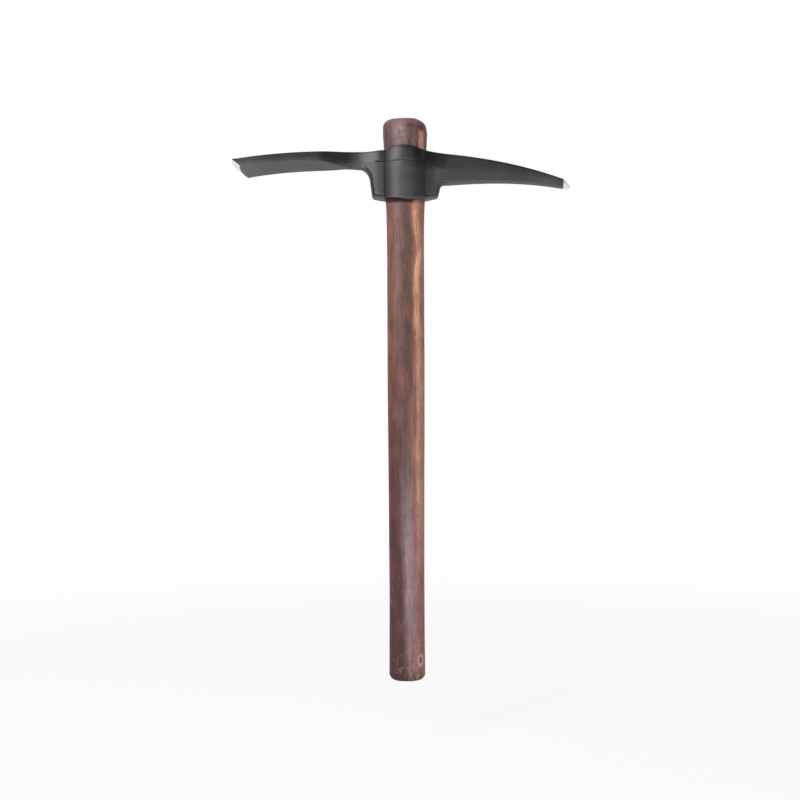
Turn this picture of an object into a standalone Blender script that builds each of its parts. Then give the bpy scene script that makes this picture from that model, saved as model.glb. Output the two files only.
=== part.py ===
"""Mattock: a forged adze-and-pick head that jams on the flared top of an oval wooden handle.

The tool stands on the butt of its handle. +Z runs up the handle, +X points along the pick and
-X along the adze. The origin is the centre of the butt's flat end. All sizes are in metres.
"""

import math
from bisect import bisect_right

import bmesh
import bpy
from mathutils import Matrix, Vector

# Handle: an oval section, squeezed in Y, whose width changes along its length
HANDLE_LENGTH = 0.4875
BUTT_WIDTH = 0.0314
WAIST_WIDTH = 0.0305            # the narrowest place, above the butt
WAIST_HEIGHT = 0.080
GRIP_WIDTH = 0.0323
GRIP_DEPTH = 0.0228             # the whole handle keeps the grip's ratio of depth to width
GRIP_HEIGHT = 0.270             # the grip has its full width from here up
NECK_LENGTH = 0.040             # the flare's lower end, from the grip up to the eye
SEAT_LOW_WIDTH = 0.0340         # the taper inside the eye, at its two ends
SEAT_HIGH_WIDTH = 0.0374
KNOB_WIDTH = 0.0385
KNOB_HEIGHT = 0.0240            # what stands above the eye
KNOB_SWELL = 0.0120             # above the eye, the width still grows over this height
KNOB_ROUND = 0.0064
BUTT_ROUND = 0.0062
FIT_GAP = 0.0003                # between the eye's wall and the handle

# Head, measured from the handle's axis and from the forging's parting plane
EDGE_REACH = 0.1470             # to the corners of the cutting edge
EDGE_WIDTH = 0.0660
EDGE_BOW = 0.0026               # the cutting edge bulges out this far in the middle
EDGE_DROP = 0.0019
EDGE_LAND = 0.0004              # thickness left at the cutting edge
GROUND_LENGTH = 0.0066          # the ground bevel under the cutting edge
BLADE_THICKNESS = 0.0065        # where the ground bevel starts
NECK_WIDTH = 0.0142
NECK_WAIST = 0.0425             # from the ear to here the neck narrows,
SHOULDER_START = 0.0450         # and from here it flares again
NECK_THICKNESS = 0.0138
NECK_TOP = 0.0086
NECK_FILLET = 0.0095            # under the adze, where it runs into the eye: along X,
NECK_FILLET_DROP = 0.0130       # and down the ear's end
SHOULDER_REACH = 0.0745         # the flare ends in the blade's shoulders, here,
SHOULDER_WIDTH = 0.0440         # and the blade then spreads slowly to the edge
BLADE_TOP = 0.0067              # the blade's own curves, drawn back to the neck, start at
BLADE_ROOT_THICKNESS = 0.0100   # this height and this thickness
POINT_REACH = 0.1430
POINT_DROP = 0.0229
POINT_LENGTH = 0.0058           # the ground point of the pick
POINT_LAND = 0.0010
PICK_TOP = 0.0069
PICK_ROOT_HEIGHT = 0.0262
PICK_TIP_HEIGHT = 0.0079
PICK_ROOT_WIDTH = 0.0174
PICK_TIP_WIDTH = 0.0080
PICK_FILLET = 0.0035            # under the pick, where it leaves the eye

# Eye: the oval collar with an ear on each side
EAR_REACH_ADZE = 0.0305
EAR_REACH_PICK = 0.0303
EAR_DRAFT = 0.0013              # the ears' ends lean in by this much at the bottom
EAR_WIDTH = 0.0240
EAR_FULLEST = 0.0195            # how far out the adze's ear is widest
VALLEY_WIDTH = 0.0222           # where an ear meets the bulge
EAR_TOP = 0.0094
EAR_BOTTOM = 0.0313
EAR_SLOPE = 0.0016              # the ears' undersides fall by this much towards the bulge
EAR_CORNER = 0.0033
BULGE_LENGTH = 0.0436
BULGE_WIDTH = 0.0366
RIM_RISE = 0.0038               # the rim and the lip curve past the ears, front and back
LIP_DROP = 0.0032
DRAFT_UP = 0.16                 # sides lean in by this slope above the parting line
DRAFT_DOWN = 0.05               # and by this one below it
PARTING_TURN = 0.0060           # from here on, the parting line drops to the middle of the pick

# Edges between the sides and the top or bottom
TOP_ROUND = 0.0010
COLLAR_ROUND = 0.0021
BLADE_ROUND = 0.0008
ROUND_FADE = 0.0200             # over this length the collar's rounding turns into the blades'
ROUND_SHARE = 0.35              # no edge is rounded by more than this share of the thickness

# How the outlines bend
ADZE_BEND_POWER = 2.4          # the adze's top starts level and falls faster and faster
ADZE_SPREAD_POWER = 1.3         # how its width grows past the shoulders
PICK_STRAIGHT_SHARE = 0.50      # share of the pick's fall that is a straight line
PICK_BEND_POWER = 2.4           # the rest of its fall

# Facets
SECTION_SIDES = 48              # round the handle and the eye
ADZE_STEPS = 18
ADZE_STEP_POWER = 0.75          # shorter steps towards the neck
PICK_STEPS = 14
BULGE_STEPS = 12
FILLET_STEPS = 6                # under the adze
SHORT_STEPS = 3                 # on an ear's end, corner and underside, and in the pick's fillet
WALL_STEPS = 2                  # on the end of the pick's ear
ROUND_STEPS = 4                 # round each end of the handle, and up its flares
GRIP_STEPS = 10

# What follows from the sizes above
HANDLE_OVALITY = GRIP_DEPTH / GRIP_WIDTH
RIM_TOP = EAR_TOP + RIM_RISE
LIP_BOTTOM = EAR_BOTTOM + LIP_DROP
PARTING_HEIGHT = HANDLE_LENGTH - KNOB_HEIGHT - RIM_TOP
SEAT_LOW = PARTING_HEIGHT - LIP_BOTTOM
SEAT_HIGH = PARTING_HEIGHT + RIM_TOP
NECK_REACH = EAR_REACH_ADZE + NECK_FILLET
PICK_START = EAR_REACH_PICK + PICK_FILLET
VALLEY = BULGE_LENGTH / 2 * math.sqrt(1 - (VALLEY_WIDTH / BULGE_WIDTH) ** 2)


def curve_through(points):
    """Return a function that runs smoothly through points given in rising order."""
    places = [place for place, _ in points]
    values = [value for _, value in points]
    slopes = []
    for i in range(len(points)):
        before, after = max(i - 1, 0), min(i + 1, len(points) - 1)
        slopes.append((values[after] - values[before]) / (places[after] - places[before]))

    def value_at(place):
        i = min(max(bisect_right(places, place) - 1, 0), len(points) - 2)
        span = places[i + 1] - places[i]
        t = (place - places[i]) / span
        rise = values[i + 1] - values[i]
        start_pull = slopes[i] * span - rise
        end_pull = rise - slopes[i + 1] * span
        return values[i] + rise * t + t * (1 - t) * (start_pull * (1 - t) + end_pull * t)

    return value_at


def ease(t):
    """Go from 0 to 1 with a level start and end."""
    t = min(max(t, 0.0), 1.0)
    return t * t * (3 - 2 * t)


def spaced(start, end, steps, power=1.0):
    """Return the places from start up to, but not including, end."""
    return [start + (end - start) * (i / steps) ** power for i in range(steps)]


def line(start, end, steps):
    """Return points along a straight line in the XZ plane, without its last point."""
    return list(zip(spaced(start[0], end[0], steps), spaced(start[1], end[1], steps)))


def arc(centre, radius, start_deg, end_deg, steps, height=None):
    """Return points along an arc in the XZ plane, without its last point; height makes it an oval."""
    height = height or radius
    turns = [math.radians(angle) for angle in spaced(start_deg, end_deg, steps)]
    return [(centre[0] + radius * math.cos(turn), centre[1] + height * math.sin(turn)) for turn in turns]


def material(name, colour, roughness, metallic):
    """Return a Principled material."""
    made = bpy.data.materials.new(name)
    made.use_nodes = True
    shader = made.node_tree.nodes["Principled BSDF"]
    shader.inputs["Base Color"].default_value = (*colour, 1.0)
    shader.inputs["Roughness"].default_value = roughness
    shader.inputs["Metallic"].default_value = metallic
    return made


def move_to(thing, collection):
    """Keep an object in one collection only."""
    for other in list(thing.users_collection):
        other.objects.unlink(thing)
    collection.objects.link(thing)


# Side view of the head

def adze_share(x):
    """Return how far along the adze x lies: 0 at the neck, 1 at the cutting edge."""
    return (-x - NECK_REACH) / (EDGE_REACH - NECK_REACH)


def pick_share(x):
    """Return how far along the pick x lies: 0 at the eye, 1 where the point is ground."""
    return (x - PICK_START) / (POINT_REACH - POINT_LENGTH - PICK_START)


def pick_height(x):
    """Return the pick's height, which falls evenly to the ground point."""
    return PICK_ROOT_HEIGHT + (PICK_TIP_HEIGHT - PICK_ROOT_HEIGHT) * pick_share(x)


def pick_top(x):
    """Return the pick's upper outline, an arc that steepens towards the point."""
    share = max(pick_share(x), 0.0)
    drop = PICK_TOP + POINT_DROP - PICK_TIP_HEIGHT
    bend = (1 - PICK_STRAIGHT_SHARE) * share ** PICK_BEND_POWER
    return PICK_TOP - drop * (PICK_STRAIGHT_SHARE * share + bend)


def flare(x):
    """Return how far the neck has turned into the blade at x, from 0 to 1."""
    return ease((-x - SHOULDER_START) / (SHOULDER_REACH - SHOULDER_START))


def adze_top(x):
    """Return the adze's upper outline, which steps down from the neck and bends down to the edge."""
    step = (NECK_TOP - BLADE_TOP) * flare(x)
    return NECK_TOP - step - (BLADE_TOP + EDGE_DROP) * max(adze_share(x), 0.0) ** ADZE_BEND_POWER


def adze_thickness(x):
    """Return the adze's thickness, which is greatest at the neck."""
    root = BLADE_ROOT_THICKNESS + (NECK_THICKNESS - BLADE_ROOT_THICKNESS) * (1 - flare(x))
    return root - (BLADE_ROOT_THICKNESS - BLADE_THICKNESS) * max(adze_share(x), 0.0)


collar_top = curve_through([
    (-NECK_REACH, NECK_TOP),
    (-EAR_REACH_ADZE, NECK_TOP),
    (-VALLEY * 1.25, EAR_TOP),
    (-VALLEY, EAR_TOP + 0.1 * RIM_RISE),
    (-VALLEY * 0.78, EAR_TOP + 0.58 * RIM_RISE),
    (-VALLEY * 0.4, EAR_TOP + 0.92 * RIM_RISE),
    (0.0, RIM_TOP),
    (VALLEY * 0.4, EAR_TOP + 0.75 * RIM_RISE),
    (VALLEY * 0.72, EAR_TOP + 0.3 * RIM_RISE),
    (VALLEY, EAR_TOP),
    (PICK_START, PICK_TOP),
])

collar_bottom = curve_through([
    (-VALLEY, -EAR_BOTTOM - EAR_SLOPE),
    (-VALLEY * 0.5, -EAR_BOTTOM - EAR_SLOPE - 0.35 * (LIP_DROP - EAR_SLOPE)),
    (VALLEY * 0.12, -LIP_BOTTOM),
    (VALLEY * 0.55, -EAR_BOTTOM - EAR_SLOPE - 0.55 * (LIP_DROP - EAR_SLOPE)),
    (VALLEY, -EAR_BOTTOM - EAR_SLOPE),
])


def head_top(x):
    """Return the upper outline of the whole head."""
    if x < -NECK_REACH:
        return adze_top(x)
    return collar_top(x) if x < PICK_START else pick_top(x)


def outlines():
    """Pair points of the lower outline with points of the upper one, from the edge to the point."""
    lower, upper = [], []

    def pair(points, top_start, top_end):
        lower.extend(points)
        upper.extend((x, head_top(x)) for x in spaced(top_start, top_end, len(points)))

    # The adze, whose underside is ground to the cutting edge
    lower.append((-EDGE_REACH, -EDGE_DROP - EDGE_LAND))
    upper.append((-EDGE_REACH, -EDGE_DROP))
    for x in spaced(GROUND_LENGTH - EDGE_REACH, -NECK_REACH, ADZE_STEPS, ADZE_STEP_POWER):
        lower.append((x, adze_top(x) - adze_thickness(x)))
        upper.append((x, adze_top(x)))

    # Under the adze: the fillet, the ear's end, its corner and its underside
    valley = (-VALLEY, -EAR_BOTTOM - EAR_SLOPE)
    corner = (EAR_DRAFT + EAR_CORNER - EAR_REACH_ADZE, EAR_CORNER - EAR_BOTTOM)
    fillet = (-NECK_REACH, NECK_TOP - NECK_THICKNESS - NECK_FILLET_DROP)
    points = arc(fillet, NECK_FILLET, 90, 0, FILLET_STEPS, NECK_FILLET_DROP)
    points += line((-EAR_REACH_ADZE, fillet[1]), (corner[0] - EAR_CORNER, corner[1]), SHORT_STEPS)
    points += arc(corner, EAR_CORNER, 180, 270, SHORT_STEPS)
    points += line((corner[0], -EAR_BOTTOM), valley, SHORT_STEPS)
    pair(points, -NECK_REACH, -VALLEY)

    # The bulge
    pair([(x, collar_bottom(x)) for x in spaced(-VALLEY, VALLEY, BULGE_STEPS)], -VALLEY, VALLEY)

    # Under the pick, the same in reverse
    valley = (VALLEY, -EAR_BOTTOM - EAR_SLOPE)
    corner = (EAR_REACH_PICK - EAR_DRAFT - EAR_CORNER, EAR_CORNER - EAR_BOTTOM)
    fillet = (PICK_START, PICK_TOP - PICK_ROOT_HEIGHT - PICK_FILLET)
    points = line(valley, (corner[0], -EAR_BOTTOM), SHORT_STEPS)
    points += arc(corner, EAR_CORNER, 270, 360, SHORT_STEPS)
    points += line((corner[0] + EAR_CORNER, corner[1]), (EAR_REACH_PICK, fillet[1]), WALL_STEPS)
    points += arc(fillet, PICK_FILLET, 180, 90, SHORT_STEPS)
    pair(points, VALLEY, PICK_START)

    # The pick, ground to a point
    ground = POINT_REACH - POINT_LENGTH
    for x in spaced(PICK_START, ground, PICK_STEPS) + [ground]:
        lower.append((x, pick_top(x) - pick_height(x)))
        upper.append((x, pick_top(x)))
    lower.append((POINT_REACH, -POINT_DROP))
    upper.append((POINT_REACH, -POINT_DROP + POINT_LAND))
    return lower, upper


# Plan view of the head

def half_width(x):
    """Return half of the head's width in Y at its parting line."""
    neck, ear, valley, pick = NECK_WIDTH / 2, EAR_WIDTH / 2, VALLEY_WIDTH / 2, PICK_ROOT_WIDTH / 2
    if x < -NECK_WAIST:
        spread = ((-x - NECK_WAIST) / (EDGE_REACH - NECK_WAIST)) ** ADZE_SPREAD_POWER
        return neck + (SHOULDER_WIDTH / 2 - neck) * flare(x) + (EDGE_WIDTH - SHOULDER_WIDTH) / 2 * spread
    if x < -VALLEY:
        swell = ease((x + NECK_WAIST) / (NECK_WAIST - EAR_FULLEST))
        pinch = max((x + EAR_FULLEST) / (EAR_FULLEST - VALLEY), 0) ** 2
        return neck + (ear - neck) * swell - (ear - valley) * pinch
    if x < VALLEY:
        return BULGE_WIDTH / 2 * math.sqrt(1 - (2 * x / BULGE_LENGTH) ** 2)
    if x < EAR_REACH_PICK:
        return pick + (valley - pick) * ((EAR_REACH_PICK - x) / (EAR_REACH_PICK - VALLEY)) ** 2
    share = (x - EAR_REACH_PICK) / (POINT_REACH - EAR_REACH_PICK)
    return pick + (PICK_TIP_WIDTH / 2 - pick) * share


def parting_height(x):
    """Return the parting line's height: level at the eye, halfway up the adze and the pick."""
    if x < 0:
        thickness = adze_thickness(min(x, -NECK_REACH))
        share = ease((-x - EAR_REACH_ADZE) / NECK_FILLET)
    else:
        thickness = pick_height(max(x, PICK_START))
        share = ease((x - PARTING_TURN) / (PICK_START - PARTING_TURN))
    return (head_top(x) - thickness / 2) * share


def lower_round(x, thickness):
    """Return the radius of the lower edges: large round the collar, small on the blades."""
    past_eye = max(-x - EAR_REACH_ADZE, x - PICK_START)
    radius = COLLAR_ROUND + (BLADE_ROUND - COLLAR_ROUND) * ease(past_eye / ROUND_FADE)
    return min(radius, ROUND_SHARE * thickness)


def bow(x, y, half):
    """Return how far a point of the adze moves out, so that its edge is bowed in plan."""
    share = max(adze_share(x), 0.0)
    return -EDGE_BOW * share ** 2 * (1 - (y / half) ** 2)


def inward(points, i, side):
    """Return the unit normal of an outline at point i, towards the metal."""
    before, after = points[max(i - 1, 0)], points[min(i + 1, len(points) - 1)]
    along = Vector((after[0] - before[0], after[1] - before[1])).normalized()
    return Vector((-along.y, along.x)) * side


def half_section(lower, upper, i):
    """Return the points round the front half of the head's section at pair i of its outlines."""
    low, high = Vector(lower[i]), Vector(upper[i])
    thickness = (high - low).length
    low_in, high_in = inward(lower, i, 1), inward(upper, i, -1)
    low_radius = lower_round(low.x, thickness)
    high_radius = min(TOP_ROUND, ROUND_SHARE * thickness)
    low_edge, high_edge = low + low_in * low_radius, high + high_in * high_radius
    parting = parting_height((low.x + high.x) / 2)
    share = (parting - low_edge.y) / (high_edge.y - low_edge.y)
    middle = low_edge.lerp(high_edge, min(max(share, 0.15), 0.85))

    def depth(place):
        draft = DRAFT_UP if place.y > middle.y else DRAFT_DOWN
        return half_width(place.x) - draft * abs(place.y - middle.y)

    points = []

    def add(place, y):
        shift = bow(place.x, y, half_width(place.x))
        points.append(Vector((place.x + shift, -y, place.y)))

    def rounded(start, normal, radius, turns):
        for turn in turns:
            place = start + normal * radius * (1 - math.cos(turn))
            add(place, depth(place) - radius * (1 - math.sin(turn)))

    across = (0.0, 1 / 3, 2 / 3)
    turns = (0.0, math.pi / 4, math.pi / 2)
    for share in across:
        add(low, share * (depth(low) - low_radius))
    rounded(low, low_in, low_radius, turns)
    add(low_edge.lerp(middle, 0.5), depth(low_edge.lerp(middle, 0.5)))
    add(middle, depth(middle))
    rounded(high, high_in, high_radius, reversed(turns))
    for share in reversed(across):
        add(high, share * (depth(high) - high_radius))
    return points


def lofted(name, rings):
    """Join rings of equal length with quads, and close the first and the last one."""
    mesh = bpy.data.meshes.new(name)
    shape = bmesh.new()
    rows = [[shape.verts.new(point) for point in ring] for ring in rings]
    count = len(rows[0])
    for near, far in zip(rows, rows[1:]):
        for k in range(count - 1):
            shape.faces.new((near[k], near[k + 1], far[k + 1], far[k]))
    for ring in (rows[0], rows[-1][::-1]):
        for k in range(count // 2 - 1):
            shape.faces.new((ring[-1 - k], ring[-2 - k], ring[k + 1], ring[k]))
    bmesh.ops.recalc_face_normals(shape, faces=shape.faces)
    shape.to_mesh(mesh)
    shape.free()
    return mesh


# The two pieces

def handle_half_width():
    """Return the handle's half width as a function of the height above its butt."""
    slope = (SEAT_HIGH_WIDTH - SEAT_LOW_WIDTH) / (SEAT_HIGH - SEAT_LOW)
    below = curve_through([
        (0.0, BUTT_WIDTH / 2),
        (WAIST_HEIGHT, WAIST_WIDTH / 2),
        (GRIP_HEIGHT, GRIP_WIDTH / 2),
        (SEAT_LOW - NECK_LENGTH, GRIP_WIDTH / 2),
        (SEAT_LOW - NECK_LENGTH * 0.3, GRIP_WIDTH / 2 + (SEAT_LOW_WIDTH - GRIP_WIDTH) * 0.22),
        (SEAT_LOW, SEAT_LOW_WIDTH / 2),
    ])

    def value_at(z):
        if z < SEAT_LOW:
            return below(z)
        if z < SEAT_HIGH:
            return (SEAT_LOW_WIDTH + slope * (z - SEAT_LOW)) / 2
        return (SEAT_HIGH_WIDTH + (KNOB_WIDTH - SEAT_HIGH_WIDTH) * ease((z - SEAT_HIGH) / KNOB_SWELL)) / 2

    return value_at


def handle_profile():
    """Return the handle's outline in the XZ plane, from the axis at the top to the axis below."""
    width = handle_half_width()
    top, bottom = HANDLE_LENGTH - KNOB_ROUND, BUTT_ROUND
    shoulder, foot = (width(top) - KNOB_ROUND, top), (width(bottom) - BUTT_ROUND, bottom)
    heights = spaced(top, SEAT_HIGH, ROUND_STEPS) + [SEAT_HIGH]
    heights += spaced(SEAT_LOW, SEAT_LOW - NECK_LENGTH, ROUND_STEPS)
    heights += spaced(SEAT_LOW - NECK_LENGTH, bottom, GRIP_STEPS)
    points = [(0.0, HANDLE_LENGTH)]
    points += arc(shoulder, KNOB_ROUND, 90, 0, ROUND_STEPS)
    points += [(width(z), z) for z in heights]
    points += arc(foot, BUTT_ROUND, 0, -90, ROUND_STEPS)
    points += [(foot[0], 0.0), (0.0, 0.0)]
    return points


def make_handle(collection):
    """Turn the handle about its axis, and squeeze it to an oval."""
    points = [(x, 0.0, z) for x, z in handle_profile()]
    mesh = bpy.data.meshes.new("handle")
    mesh.from_pydata(points, [(i, i + 1) for i in range(len(points) - 1)], [])
    handle = bpy.data.objects.new("handle", mesh)
    collection.objects.link(handle)
    turn = handle.modifiers.new("turned", "SCREW")
    turn.axis = "Z"
    turn.steps = turn.render_steps = SECTION_SIDES
    turn.use_merge_vertices = True
    turn.merge_threshold = 0.00001
    turn.use_smooth_shade = True
    handle.scale.y = HANDLE_OVALITY
    mesh.materials.append(material("stained_wood", (0.20, 0.095, 0.080), 0.55, 0.0))
    return handle


def make_eye_cutter(collection):
    """Make the tapered oval that leaves the fit gap round the handle's seat."""
    slope = (SEAT_HIGH_WIDTH - SEAT_LOW_WIDTH) / 2 / (SEAT_HIGH - SEAT_LOW)
    over = EAR_CORNER
    low_radius = SEAT_LOW_WIDTH / 2 - slope * over + FIT_GAP
    high_radius = SEAT_HIGH_WIDTH / 2 + slope * over + FIT_GAP
    middle = (low_radius + high_radius) / 2
    bpy.ops.mesh.primitive_cone_add(
        vertices=SECTION_SIDES, radius1=low_radius, radius2=high_radius,
        depth=SEAT_HIGH - SEAT_LOW + 2 * over, location=(0, 0, (SEAT_LOW + SEAT_HIGH) / 2))
    cutter = bpy.context.object
    cutter.name = "eye_cutter"
    ovality = (HANDLE_OVALITY * (middle - FIT_GAP) + FIT_GAP) / middle
    quarter = Matrix.Rotation(math.pi / 2, 4, "Z")
    cutter.data.transform(Matrix.Diagonal((1, ovality, 1, 1)) @ quarter)
    cutter.hide_render = True
    cutter.display_type = "WIRE"
    move_to(cutter, collection)
    return cutter


def make_head(collection, cutter):
    """Loft the forged head through its sections, mirror it and cut its eye."""
    lower, upper = outlines()
    mesh = lofted("mattock_head", [half_section(lower, upper, i) for i in range(len(lower))])
    head = bpy.data.objects.new("mattock_head", mesh)
    collection.objects.link(head)
    head.location.z = PARTING_HEIGHT
    mirror = head.modifiers.new("both_sides", "MIRROR")
    mirror.use_axis = (False, True, False)
    mirror.merge_threshold = 0.00001
    eye = head.modifiers.new("eye", "BOOLEAN")
    eye.operation = "DIFFERENCE"
    eye.object = cutter
    mesh.materials.append(material("phosphated_steel", (0.062, 0.062, 0.064), 0.5, 0.7))
    mesh.shade_smooth()
    mesh.set_sharp_from_angle(angle=math.radians(30))
    return head


def main():
    for thing in list(bpy.data.objects):
        bpy.data.objects.remove(thing)
    parts = bpy.data.collections.new("mattock")
    cutters = bpy.data.collections.new("cutters")
    bpy.context.scene.collection.children.link(parts)
    bpy.context.scene.collection.children.link(cutters)
    make_handle(parts)
    make_head(parts, make_eye_cutter(cutters))


main()
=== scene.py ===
"""The mattock's looks: a fine forged head and a stained handle, and the studio round them.

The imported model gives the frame. All sizes are in metres, +Z runs up the handle, +X along the
pick and -X along the adze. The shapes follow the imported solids, with finer chamfers, the step
of the parting seam, the pick's crown and the worn corner of the handle's top.
"""

import logging
import math
from bisect import bisect_right
from dataclasses import dataclass, field
from enum import Enum
from typing import Callable, Mapping, Optional, Sequence, Union

import bmesh
import bpy
from mathutils import Matrix, Vector, noise


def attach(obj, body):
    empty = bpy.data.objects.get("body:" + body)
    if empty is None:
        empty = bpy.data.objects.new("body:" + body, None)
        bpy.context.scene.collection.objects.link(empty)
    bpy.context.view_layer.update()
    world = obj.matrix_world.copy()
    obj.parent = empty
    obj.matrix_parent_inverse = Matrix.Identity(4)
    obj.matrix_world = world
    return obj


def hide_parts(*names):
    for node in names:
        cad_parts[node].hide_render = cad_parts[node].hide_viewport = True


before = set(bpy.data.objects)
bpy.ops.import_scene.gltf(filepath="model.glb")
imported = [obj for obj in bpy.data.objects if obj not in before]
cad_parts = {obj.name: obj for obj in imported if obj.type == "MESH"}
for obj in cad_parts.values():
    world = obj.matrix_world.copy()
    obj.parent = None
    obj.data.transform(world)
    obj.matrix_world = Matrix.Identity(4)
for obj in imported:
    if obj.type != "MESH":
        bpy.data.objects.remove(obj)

LOG = logging.getLogger("mattock")
WELD = 0.00001                  # vertices closer than this are one
PHOTO_SIDE = 800                # the photograph is this many pixels wide and high

Colour = tuple[float, float, float]
Place = tuple[float, float, float]
Point = tuple[float, float]
Band = tuple[float, float]      # where a mask is 0, and where it is 1
Number = Union[float, "Wire"]

WHITE: Colour = (1.0, 1.0, 1.0)


class Body(Enum):
    """The bodies that the pieces ride on."""

    HANDLE = "handle"
    HEAD = "head"


class Slot(Enum):
    """The record's material slots."""

    STEEL = "phosphated_steel"
    WOOD = "stained_wood"


def curve_through(points: Sequence[Point]) -> Callable[[float], float]:
    """Make a curve that runs smoothly through points.

    Args:
        points: Pairs of place and value, in rising order of place.

    Returns:
        A function from a place to the curve's value there.
    """
    places = [place for place, _ in points]
    values = [value for _, value in points]
    slopes = []
    for i in range(len(points)):
        before, after = max(i - 1, 0), min(i + 1, len(points) - 1)
        slopes.append((values[after] - values[before]) / (places[after] - places[before]))

    def value_at(place: float) -> float:
        """Return the curve's value at a place."""
        i = min(max(bisect_right(places, place) - 1, 0), len(points) - 2)
        span = places[i + 1] - places[i]
        t = (place - places[i]) / span
        rise = values[i + 1] - values[i]
        start_pull = slopes[i] * span - rise
        end_pull = rise - slopes[i + 1] * span
        return values[i] + rise * t + t * (1 - t) * (start_pull * (1 - t) + end_pull * t)

    return value_at


def ease(t: float) -> float:
    """Go from 0 to 1 with a level start and end."""
    t = min(max(t, 0.0), 1.0)
    return t * t * (3 - 2 * t)


def spaced(start: float, end: float, steps: int, power: float = 1.0) -> list[float]:
    """Return the places from start up to, but not including, end."""
    return [start + (end - start) * (i / steps) ** power for i in range(steps)]


def line(start: Point, end: Point, steps: int) -> list[Point]:
    """Return points along a straight line, without its last point."""
    return list(zip(spaced(start[0], end[0], steps), spaced(start[1], end[1], steps)))


def arc(centre: Point, radius: float, start_deg: float, end_deg: float, steps: int,
        height: Optional[float] = None) -> list[Point]:
    """Return points along an arc, without its last point; height makes it an oval."""
    height = height or radius
    turns = [math.radians(angle) for angle in spaced(start_deg, end_deg, steps)]
    return [(centre[0] + radius * math.cos(turn), centre[1] + height * math.sin(turn)) for turn in turns]


# Shader nodes

class Wire:
    """One number in a node tree, so that shader maths reads as an expression."""

    def __init__(self, bench: "Bench", socket: bpy.types.NodeSocket) -> None:
        """Keep the bench that the node stands on, and its output socket."""
        self.bench = bench
        self.socket = socket

    def _joined(self, operation: str, first: Number, second: Number) -> "Wire":
        """Join two numbers with a Math node."""
        return self.bench.wire("ShaderNodeMath", {"operation": operation}, {0: first, 1: second})

    def __add__(self, other: Number) -> "Wire":
        """Add."""
        return self._joined("ADD", self, other)

    __radd__ = __add__

    def __sub__(self, other: Number) -> "Wire":
        """Take another number away."""
        return self._joined("SUBTRACT", self, other)

    def __rsub__(self, other: Number) -> "Wire":
        """Take this number away from another."""
        return self._joined("SUBTRACT", other, self)

    def __mul__(self, other: Number) -> "Wire":
        """Multiply."""
        return self._joined("MULTIPLY", self, other)

    __rmul__ = __mul__

    def __truediv__(self, other: Number) -> "Wire":
        """Divide."""
        return self._joined("DIVIDE", self, other)

    def __pow__(self, other: Number) -> "Wire":
        """Raise to a power."""
        return self._joined("POWER", self, other)

    def size(self) -> "Wire":
        """Drop the sign."""
        return self._joined("ABSOLUTE", self, 0.0)

    def rise(self, low: float, high: float) -> "Wire":
        """Go smoothly from 0 at low to 1 at high; low may be above high."""
        ends = (low, high, 0.0, 1.0) if low < high else (high, low, 1.0, 0.0)
        return self.bench.wire("ShaderNodeMapRange", {"interpolation_type": "SMOOTHSTEP"},
                               {0: self, **dict(enumerate(ends, 1))})

    def band(self, start: float, full: float, past: float, end: float) -> "Wire":
        """Go from 0 at start to 1 at full, and from 1 at past back to 0 at end."""
        return self.rise(start, full) * self.rise(end, past)

    def near(self, centre: Number, far: float, close: float) -> "Wire":
        """Go from 0 where the number is this far from a centre to 1 where it is this close."""
        return (self - centre).size().rise(far, close)


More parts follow.
